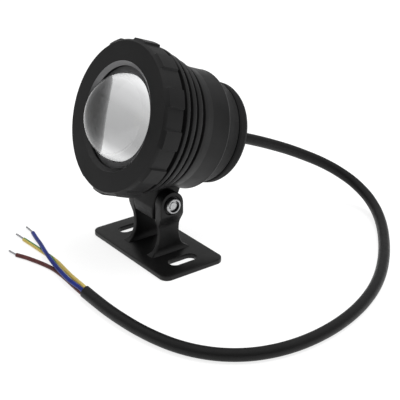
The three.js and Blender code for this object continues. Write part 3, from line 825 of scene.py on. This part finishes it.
def make_foot():
    v, f = grid_prism(corner_rect(75, 40.8, 5, 12), 0, 3, 0.55)
    foot = raw("foot_casting", v, f)
    for side in (-1, 1):
        # the slot's own edges are eased, top and bottom
        outline = corner_rect(7.4, 17.6, 3.699, 14, cx=side * 25.4)
        n, verts, faces = len(outline), [], []
        levels = [(-1.5, 1.5), (0.0, 0.3), (0.12, 0.1), (0.4, 0.0), (2.6, 0.0), (2.88, 0.1), (3.0, 0.3), (4.5, 1.5)]
        for z, grow in levels:
            for x, y in outline:
                dx, dy = x - side * 25.4, y
                core = max(0.0, abs(dy) - 5.1) * (1 if dy > 0 else -1)
                d = Vector((dx, core))
                d = d.normalized() * grow if d.length > 1e-9 else Vector((0, 0))
                verts.append(Vector((x + d.x, y + d.y, z)) * MM)
        for i in range(len(levels) - 1):
            for k in range(n):
                l = (k + 1) % n
                faces.append((i * n + k, i * n + l, (i + 1) * n + l, (i + 1) * n + k))
        faces += [tuple(range(n))[::-1], tuple(range((len(levels) - 1) * n, len(levels) * n))]
        boolean(foot, raw("slot", verts, faces), "DIFFERENCE")
    # ears: lofted in layers of height; each layer is a rounded rectangle in x and y
    side_y = [(1.5, 13.4), (2.9, 13.4), (3.6, 11.8), (4.7, 10.0), (6.5, 8.5), (9, 7.3), (12, 6.7), (15, 6.5), (18, 6.7), (21, 7.2), (24.5, 7.6), (32.44, 7.6)]
    in_x = [(1.5, 8.7), (2.9, 8.7), (3.6, 9.5), (4.6, 10.0), (6, 10.3), (41, 10.3)]
    out_x = [(1.5, 15.2), (2.9, 15.2), (3.5, 14.2), (4.3, 13.6), (5.4, 13.3), (19.6, 13.3), (20.9, 13.7), (24.9, 15.8), (26, 16.3), (41, 16.3)]

    def at(table, z):
        for (z0, a), (z1, b) in zip(table, table[1:]):
            if z <= z1:
                t = (z - z0) / (z1 - z0) if z1 > z0 else 0
                return a + (b - a) * t
        return table[-1][1]

    def eased(table, z, w=0.5):
        return sum(at(table, z + d * w) for d in (-1, -0.5, 0, 0.5, 1)) / 5

    heights = [1.5, 2.0, 2.6, 2.9, 3.15, 3.4, 3.7, 4.0, 4.4, 4.8, 5.3, 5.9, 6.6, 7.4, 8.3, 9.4, 10.6, 12, 13.5, 15, 16.5, 18, 19, 19.7, 20.4, 21.1, 22, 23, 24, 24.6, 25.1, 25.6, 26.1, 26.7, 27.5]
    for side in (-1, 1):
        layers = []
        for z in heights:
            layers.append((z, eased(side_y, z), eased(in_x, z), eased(out_x, z)))
        # above this height the outline is the round head, in even turns of angle
        layers += [(z, 7.6, 10.3, 16.3) for z in (28.6, 30.0, 31.4)]
        for q in range(0, 91, 5):
            a = math.radians(min(q, 89.5))
            layers.append((32.44 + 7.6 * math.sin(a), 7.6 * math.cos(a), 10.3, 16.3))
        verts, faces, per = [], [], None
        for z, hy, xi, xo in layers:
            r = min(0.6, hy * 0.9)
            ring = corner_rect(xo - xi, 2 * hy, min(r, (xo - xi) * 0.45), 5, cx=(xi + xo) / 2)
            if side < 0:
                ring = [(-x, y) for x, y in reversed(ring)]
            per = len(ring)
            verts += [Vector((x, y, z)) * MM for x, y in ring]
        m = len(layers)
        for i in range(m - 1):
            for k in range(per):
                l = (k + 1) % per
                faces.append((i * per + k, i * per + l, (i + 1) * per + l, (i + 1) * per + k))
        faces += [tuple(range(per))[::-1], tuple(range((m - 1) * per, m * per))]
        boolean(foot, raw("ear", verts, faces), "UNION")
    boolean(foot, rod_x(-20, 20, 2.8), "DIFFERENCE")
    for side in (-1, 1):
        # the recess under the screw head or nut, with an eased rim
        verts, faces, n = [], [], 56
        levels = [(15.2, 5.3), (15.32, 5.5), (16.02, 5.5), (16.2, 5.6), (16.32, 5.78), (18.5, 8.0)]
        for x, r in levels:
            for k in range(n):
                a = 2 * math.pi * k / n
                verts.append(Vector((side * x, r * math.cos(a), 32.44 + r * math.sin(a))) * MM)
        for i in range(len(levels) - 1):
            for k in range(n):
                l = (k + 1) % n
                faces.append((i * n + k, i * n + l, (i + 1) * n + l, (i + 1) * n + k))
        faces += [tuple(range(n))[::-1], tuple(range((len(levels) - 1) * n, len(levels) * n))]
        boolean(foot, raw("recess", verts, faces), "DIFFERENCE")
    foot.name = "foot_casting"
    foot.data.materials.append(PAINT_FOOT)
    smooth(foot, 30)
    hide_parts("bracket")
    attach(foot, "foot")


make_foot()


# ------------------------------------------------------------------ bolt, washers, nut
def make_bolt():
    outer = [(18.1, 3.3), (18.25, 3.38), (18.3, 3.48), (18.3, 3.95), (18.2, 4.15), (17.95, 4.35), (17.6, 4.46), (17.2, 4.5), (15.75, 4.5), (15.55, 4.45), (15.5, 4.3), (15.5, 2.5), (14.9, 2.5)]
    # a fine thread on the shaft's far end
    x = 14.9
    while x > -8:
        outer.append((x, 2.5))
        x -= 2.0
    while x > -22.0:
        outer += [(x, 2.5), (x - 0.25, 2.22), (x - 0.4, 2.22), (x - 0.65, 2.5)]
        x -= 0.8
    outer += [(-22.3, 2.4), (-22.6, 2.05)]
    seg = 72
    verts, faces = [], []

    def hexa(a, r):
        return min(r, 2.08 / math.cos((a + math.pi / 6) % (math.pi / 3) - math.pi / 6))

    # a round recess in the head with a hexagonal drive post standing in it
    inner = [(17.35, 0.9, True), (17.35, 2.1, True), (17.25, 2.25, True), (17.1, 2.35, True), (16.7, 2.35, True), (16.7, 3.1, False), (16.85, 3.22, False)]
    rows = [[bolt_place(px, (hexa(2 * math.pi * k / seg, pr) if hx else pr), 2 * math.pi * k / seg) for k in range(seg)] for px, pr, hx in inner]
    rows += [[bolt_place(px, pr, 2 * math.pi * k / seg) for k in range(seg)] for px, pr in outer]
    for row in rows:
        verts += row
    for i in range(len(rows) - 1):
        for k in range(seg):
            l = (k + 1) % seg
            faces.append((i * seg + k, i * seg + l, (i + 1) * seg + l, (i + 1) * seg + k))
    faces += [tuple(range(seg)), tuple(range((len(rows) - 1) * seg, len(rows) * seg))[::-1]]
    o = finish_mesh("bolt", verts, faces, STEEL, sharp=30, body="foot", replaces=["tilt_screw"])
    o.data.materials.append(STEEL_PAINTED_SHADE)
    # the recess's mouth wall and the foot of the drive post take the dark steel: painted shade
    for p in o.data.polygons:
        c = p.center / MM
        out = math.hypot(c.y, c.z - 32.44)
        if 16.75 < c.x < 18.12 and (3.08 < out < 3.36 or (c.x < 17.2 and 2.0 < out < 2.5)):
            p.material_index = 1

    def washer(name, node, r, t, x0, gap=0.0):
        ring = rounded([(x0, 2.8), (x0 + t, 2.8), (x0 + t, r), (x0, r)], 0.12)
        if not gap:
            v, f = lathe(ring, 72, place=bolt_place)
            return finish_mesh(name, v, f, STEEL, sharp=40, body="foot", replaces=[node])
        n, verts, faces, m = len(ring), [], [], 60
        for i in range(m + 1):
            a = gap / 2 + (2 * math.pi - gap) * i / m + math.pi / 2
            lift = 0.0
            verts += [bolt_place(px + lift, pr, a) for px, pr in ring]
        for i in range(m):
            for k in range(n):
                l = (k + 1) % n
                faces.append((i * n + k, (i + 1) * n + k, (i + 1) * n + l, i * n + l))
        faces += [tuple(range(n)), tuple(range(m * n, (m + 1) * n))[::-1]]
        return finish_mesh(name, verts, faces, STEEL, sharp=40, body="foot", replaces=[node])

    washer("washer_flat", "flat_washer", 5.0, 1.0, -16.5)
    washer("washer_spring", "spring_washer", 4.5, 1.2, -18.0, gap=0.2)

    def nut_place(px, pr, a):
        if pr > 3.2:
            edge = 4.0 / math.cos((a + math.pi / 6) % (math.pi / 3) - math.pi / 6)
            pr = min(pr, edge)
        return bolt_place(px, pr, a)

    ring = [(-18.3, 2.95), (-18.3, 4.0), (-18.5, 4.45), (-18.62, 4.62), (-20.98, 4.62), (-21.1, 4.45), (-21.3, 4.0), (-21.3, 2.95), (-21.1, 2.7), (-18.5, 2.7)]
    v, f = lathe(ring, 144, place=nut_place)
    finish_mesh("nut", v, f, STEEL_PLAIN, sharp=30, body="foot", replaces=["tilt_nut"])


make_bolt()


# ------------------------------------------------------------------ inside the head: kept CAD nodes and the parts seen through the lens
def make_inside():
    bright = metal("reflector_metal", (0.2, 0.204, 0.208), rough=(0.3, 0.4), vary=0.05)
    rows = [(17.2, 12.4), (20.5, 15.6), (24, 19.2), (27.5, 23.0), (31.2, 27.0), (31.2, 28.0), (30.4, 28.0), (27, 24.2), (17.2, 13.6)]
    v, f = lathe(rounded(rows, 0.2), 128)
    finish_mesh("reflector_cone", v, f, bright, sharp=40, body="head", replaces=["reflector"])
    looks = {
        "lens_seal": RUBBER, "rear_o_ring": RUBBER, "cable_seal": RUBBER, "lead_stub": JACKET,
        "thermal_pad": rubber("pad_grey", 0.3, 0.38, scale=500),
        "led_board": plastic("board_white", (0.72, 0.72, 0.7), 0.05),
        "led_emitter": plastic("phosphor", (0.82, 0.68, 0.22), 0.1),
        "ir_receiver": plastic("window_dark", (0.03, 0.016, 0.035), 0.2, rough=(0.12, 0.2)),
        "driver_board": plastic("board_green", (0.02, 0.13, 0.06), 0.25),
        "capacitor": plastic("sleeve_black", (0.02, 0.022, 0.03), 0.2),
        "inductor": rubber("ferrite", 0.02, 0.035, scale=1500),
        "rectifier": plastic("epoxy", (0.018, 0.018, 0.02), 0.2, rough=(0.45, 0.6)),
        "controller_chip": plastic("epoxy_fine", (0.016, 0.016, 0.018), 0.2, rough=(0.4, 0.55)),
        "led_lead_common": plastic("wire_white", (0.72, 0.72, 0.72), 0.06),
        "led_lead_red": plastic("wire_red", (0.45, 0.02, 0.015)),
        "led_lead_green": plastic("wire_green", (0.02, 0.22, 0.06)),
        "led_lead_blue": plastic("wire_blue", (0.02, 0.06, 0.35)),
        "led_screw_1": STEEL_PLAIN, "led_screw_2": STEEL_PLAIN, "driver_screw_1": STEEL_PLAIN, "driver_screw_2": STEEL_PLAIN,
    }
    for name, mat in looks.items():
        o = NODES[name]
        if not o.data.materials:
            o.data.materials.append(mat)
        for s in o.material_slots:
            s.link = "OBJECT"
            s.material = mat


make_inside()


# ------------------------------------------------------------------ floor and soft light
def plain(v):
    return (v, v, v)


def make_stage():
    me = bpy.data.meshes.new("floor")
    me.from_pydata([(-4, -4, 0), (4, -4, 0), (4, 4, 0), (-4, 4, 0)], [], [(0, 1, 2, 3)])
    floor = bpy.data.objects.new("floor", me)
    bpy.context.scene.collection.objects.link(floor)
    m, nt, b = tree_of("floor_white")
    coord = nt.nodes.new("ShaderNodeTexCoord").outputs["Object"]

    def plane(normal, origin, scale):
        """How far a point of the floor lies to one side of an upright plane, in metres."""
        dot = nt.nodes.new("ShaderNodeVectorMath")
        dot.operation = "DOT_PRODUCT"
        dot.inputs[1].default_value = normal
        nt.links.new(coord, dot.inputs[0])
        add = nt.nodes.new("ShaderNodeMath")
        add.operation = "MULTIPLY_ADD"
        add.inputs[1].default_value = scale
        add.inputs[2].default_value = 1.0 - normal.dot(origin) * scale
        nt.links.new(dot.outputs["Value"], add.inputs[0])
        return add.outputs[0]

    back = Vector((0.7290, -0.5420, 0.4180)).normalized()
    right = Vector((0.5967, 0.8025, 0.0)).normalized()
    upward = back.cross(right)
    eye = Vector((0.4472, -0.3015, 0.2777))
    # painted light: the floor glows, white under the lamp, and its glow and colour fall off to grey on the left and in
    # front
    left = ramp(nt, plane(right - back * 0.189, eye, 0.25), [(0.0, plain(0.475)), (0.5, plain(0.495)), (0.75, plain(0.505)), (0.8, plain(0.52)), (0.875, plain(0.535)), (0.9375, plain(0.56)), (0.9675, plain(0.66)), (0.985, plain(0.88)), (0.996, plain(1.0))])
    near = ramp(nt, plane(upward - back * 0.189, eye, 1.0), [(0.6, plain(0.66)), (0.97, plain(1.0))])
    mix = nt.nodes.new("ShaderNodeMix")
    mix.data_type = "RGBA"
    mix.blend_type = "MULTIPLY"
    mix.inputs["Factor"].default_value = 1.0
    nt.links.new(left, mix.inputs["A"])
    nt.links.new(near, mix.inputs["B"])
    dim = nt.nodes.new("ShaderNodeMix")
    dim.data_type = "RGBA"
    dim.blend_type = "MULTIPLY"
    dim.inputs["Factor"].default_value = 1.0
    dim.inputs["B"].default_value = (0.3, 0.3, 0.3, 1)
    nt.links.new(mix.outputs["Result"], dim.inputs["A"])
    nt.links.new(dim.outputs["Result"], b.inputs["Base Color"])
    nt.links.new(mix.outputs["Result"], b.inputs["Emission Color"])
    b.inputs["Roughness"].default_value = 0.9
    b.inputs["Specular IOR Level"].default_value = 0.0
    # the glow is painted light that lifts the floor's shadows
    b.inputs["Emission Strength"].default_value = 0.8
    me.materials.append(m)

    world = bpy.data.worlds.new("studio")
    world.use_nodes = True
    nt = world.node_tree
    nt.nodes.clear()
    out = nt.nodes.new("ShaderNodeOutputWorld")
    bg = nt.nodes.new("ShaderNodeBackground")
    coord = nt.nodes.new("ShaderNodeTexCoord")
    sep = nt.nodes.new("ShaderNodeSeparateXYZ")
    nt.links.new(coord.outputs["Generated"], sep.inputs[0])
    col = ramp(nt, sep.outputs["Z"], [(0.0, plain(0.485)), (0.087, plain(0.465)), (0.174, plain(0.45)), (0.276, plain(0.435)), (0.342, plain(0.445)), (0.42, plain(0.475)), (0.485, plain(0.5)), (0.545, plain(0.6)), (0.616, plain(0.72)), (0.707, plain(0.88)), (1.0, plain(1.05))])
    dot = nt.nodes.new("ShaderNodeVectorMath")
    dot.operation = "DOT_PRODUCT"
    dot.inputs[1].default_value = (0.803, -0.596, 0.0)
    nt.links.new(coord.outputs["Generated"], dot.inputs[0])
    side = nt.nodes.new("ShaderNodeMapRange")
    side.interpolation_type = "SMOOTHSTEP"
    side.inputs["From Min"].default_value, side.inputs["From Max"].default_value = 0.35, 0.95
    side.inputs["To Min"].default_value, side.inputs["To Max"].default_value = 1.0, 0.5
    nt.links.new(dot.outputs["Value"], side.inputs["Value"])
    nt.links.new(side.outputs["Result"], bg.inputs["Strength"])
    nt.links.new(col, bg.inputs["Color"])
    nt.links.new(bg.outputs[0], out.inputs["Surface"])
    bpy.context.scene.world = world

    def area(name, place, aim, size, power):
        d = bpy.data.lights.new(name, "AREA")
        d.shape = "RECTANGLE"
        d.size, d.size_y = size
        d.energy = power
        o = bpy.data.objects.new(name, d)
        o.location = place
        o.rotation_mode = "QUATERNION"
        o.rotation_quaternion = (Vector(aim) - Vector(place)).to_track_quat("-Z", "Y")
        bpy.context.scene.collection.objects.link(o)
        return o

    top = area("top_box", (0.2, 0.35, 1.1), (0, 0, 0.05), (0.8, 0.8), 8.0)
    top.visible_glossy = False
    top.visible_transmission = False


make_stage()
bpy.context.scene.view_settings.view_transform = "Standard"
bpy.context.scene.view_settings.look = "None"
